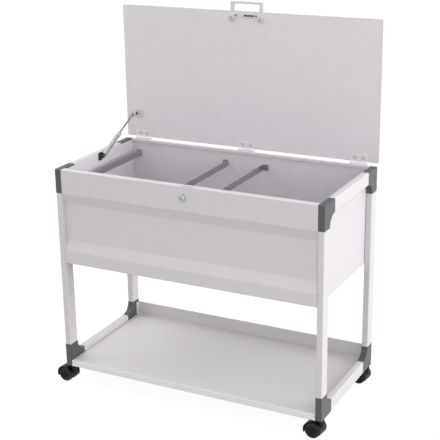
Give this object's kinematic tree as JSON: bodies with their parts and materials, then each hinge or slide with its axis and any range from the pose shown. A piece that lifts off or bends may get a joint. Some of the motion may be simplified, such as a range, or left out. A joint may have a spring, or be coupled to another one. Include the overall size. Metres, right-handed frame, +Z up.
{
  "type": "mobile file cart",
  "caption": "Wheeled office file cart: tube side frames on twin-wheel castors carry a lockable sheet-steel hanging-file tub with a strut-held lid above an open binder shelf.",
  "frame": {"origin": "middle of the outline seen from above, castors and open lid included, on the floor", "axes": "+X to the right along the front, +Y to the back, +Z up"},
  "size_m": [0.9396, 0.4676, 1.2098],
  "materials": {
    "powder_coat": "light grey satin powder coat",
    "connector_plastic": "fine-grained dark grey moulding",
    "castor_plastic": "black semi-gloss moulding",
    "wheel_tread": "dark matt tread",
    "steel": "bright zinc plate",
    "chrome": "polished",
    "handle_plastic": "light grey satin moulding",
    "buffer_rubber": "pale grey rubber"
  },
  "bodies": {
    "frame": {"corner_bottom_front_left": "connector_plastic", "corner_bottom_front_right": "connector_plastic", "corner_bottom_rear_left": "connector_plastic", "corner_bottom_rear_right": "connector_plastic", "corner_top_front_left": "connector_plastic", "corner_top_front_right": "connector_plastic", "corner_top_rear_left": "connector_plastic", "corner_top_rear_right": "connector_plastic", "hanging_rail_left_inner": "steel", "hanging_rail_left_outer": "steel", "hanging_rail_right_inner": "steel", "hanging_rail_right_outer": "steel", "hinge_rim_leaf_left": "steel", "hinge_rim_leaf_middle": "steel", "hinge_rim_leaf_right": "steel", "lock_barrel": "chrome", "post_front_left": "powder_coat", "post_front_right": "powder_coat", "post_rear_left": "powder_coat", "post_rear_right": "powder_coat", "rail_bottom_left": "powder_coat", "rail_bottom_right": "powder_coat", "rail_top_left": "powder_coat", "rail_top_right": "powder_coat", "shelf": "powder_coat", "strut_tub_bracket": "castor_plastic", "tub_floor": "powder_coat", "tub_front": "powder_coat", "tub_rear": "powder_coat", "tub_side_left": "powder_coat", "tub_side_right": "powder_coat"},
    "lid": {"catch_plate": "steel", "hinge_lid_leaf_left": "steel", "hinge_lid_leaf_middle": "steel", "hinge_lid_leaf_right": "steel", "lid_buffer_left": "buffer_rubber", "lid_buffer_right": "buffer_rubber", "lid_handle": "handle_plastic", "lid_liner": "powder_coat", "lid_pan": "powder_coat", "strut_lid_bracket": "steel"},
    "lock_plug": {"lock_plug": "chrome"},
    "strut_tube": {"strut_tube": "chrome"},
    "strut_rod": {"strut_rod": "steel"},
    "castor_front_left": {"castor_front_left_housing": "castor_plastic", "castor_front_left_axle": "steel"},
    "castor_front_left_wheel_inner": {"castor_front_left_wheel_inner": "wheel_tread"},
    "castor_front_left_wheel_outer": {"castor_front_left_wheel_outer": "wheel_tread"},
    "castor_front_right": {"castor_front_right_housing": "castor_plastic", "castor_front_right_axle": "steel"},
    "castor_front_right_wheel_inner": {"castor_front_right_wheel_inner": "wheel_tread"},
    "castor_front_right_wheel_outer": {"castor_front_right_wheel_outer": "wheel_tread"},
    "castor_rear_left": {"castor_rear_left_housing": "castor_plastic", "castor_rear_left_axle": "steel"},
    "castor_rear_left_wheel_inner": {"castor_rear_left_wheel_inner": "wheel_tread"},
    "castor_rear_left_wheel_outer": {"castor_rear_left_wheel_outer": "wheel_tread"},
    "castor_rear_right": {"castor_rear_right_housing": "castor_plastic", "castor_rear_right_axle": "steel"},
    "castor_rear_right_wheel_inner": {"castor_rear_right_wheel_inner": "wheel_tread"},
    "castor_rear_right_wheel_outer": {"castor_rear_right_wheel_outer": "wheel_tread"}
  },
  "joints": [
    {"name": "lid_hinge", "type": "hinge", "parent": "frame", "child": "lid", "pos_m": [0.01944, 0.21145, 0.7345], "axis": [1, 0, 0], "range_deg": [0, 90]},
    {"name": "lock_turn", "type": "hinge", "parent": "frame", "child": "lock_plug", "pos_m": [0.01944, -0.22485, 0.6965], "axis": [0, -1, 0], "range_deg": [0, 90]},
    {"name": "strut_swing", "type": "hinge", "parent": "frame", "child": "strut_tube", "pos_m": [-0.39756, 0.00015, 0.7185], "axis": [1, 0, 0], "range_deg": [-25.8, 0]},
    {"name": "strut_slide", "type": "slide", "parent": "strut_tube", "child": "strut_rod", "axis": [0, 0.8938, 0.4485], "range_m": [-0.0925, 0]},
    {"name": "castor_front_left_swivel", "type": "hinge", "parent": "frame", "child": "castor_front_left", "pos_m": [-0.41956, -0.20485, 0.06149], "axis": [0, 0, 1], "continuous": true},
    {"name": "castor_front_left_wheel_inner_roll", "type": "hinge", "parent": "castor_front_left", "child": "castor_front_left_wheel_inner", "pos_m": [-0.43948, -0.20311, 0.02479], "axis": [0.0872, 0.9962, 0], "continuous": true},
    {"name": "castor_front_left_wheel_outer_roll", "type": "hinge", "parent": "castor_front_left", "child": "castor_front_left_wheel_outer", "pos_m": [-0.43948, -0.20311, 0.02479], "axis": [0.0872, 0.9962, 0], "continuous": true},
    {"name": "castor_front_right_swivel", "type": "hinge", "parent": "frame", "child": "castor_front_right", "pos_m": [0.45844, -0.20485, 0.06149], "axis": [0, 0, 1], "continuous": true},
    {"name": "castor_front_right_wheel_inner_roll", "type": "hinge", "parent": "castor_front_right", "child": "castor_front_right_wheel_inner", "pos_m": [0.43852, -0.20311, 0.02479], "axis": [0.0872, 0.9962, 0], "continuous": true},
    {"name": "castor_front_right_wheel_outer_roll", "type": "hinge", "parent": "castor_front_right", "child": "castor_front_right_wheel_outer", "pos_m": [0.43852, -0.20311, 0.02479], "axis": [0.0872, 0.9962, 0], "continuous": true},
    {"name": "castor_rear_left_swivel", "type": "hinge", "parent": "frame", "child": "castor_rear_left", "pos_m": [-0.41956, 0.18715, 0.06149], "axis": [0, 0, 1], "continuous": true},
    {"name": "castor_rear_left_wheel_inner_roll", "type": "hinge", "parent": "castor_rear_left", "child": "castor_rear_left_wheel_inner", "pos_m": [-0.43948, 0.18889, 0.02479], "axis": [0.0872, 0.9962, 0], "continuous": true},
    {"name": "castor_rear_left_wheel_outer_roll", "type": "hinge", "parent": "castor_rear_left", "child": "castor_rear_left_wheel_outer", "pos_m": [-0.43948, 0.18889, 0.02479], "axis": [0.0872, 0.9962, 0], "continuous": true},
    {"name": "castor_rear_right_swivel", "type": "hinge", "parent": "frame", "child": "castor_rear_right", "pos_m": [0.45844, 0.18715, 0.06149], "axis": [0, 0, 1], "continuous": true},
    {"name": "castor_rear_right_wheel_inner_roll", "type": "hinge", "parent": "castor_rear_right", "child": "castor_rear_right_wheel_inner", "pos_m": [0.43852, 0.18889, 0.02479], "axis": [0.0872, 0.9962, 0], "continuous": true},
    {"name": "castor_rear_right_wheel_outer_roll", "type": "hinge", "parent": "castor_rear_right", "child": "castor_rear_right_wheel_outer", "pos_m": [0.43852, 0.18889, 0.02479], "axis": [0.0872, 0.9962, 0], "continuous": true}
  ],
  "couplings": [
    {"joint": "strut_swing", "follows": "lid_hinge", "ratio": -0.28615},
    {"joint": "strut_slide", "follows": "lid_hinge", "m_per_rad": -0.058842}
  ]
}
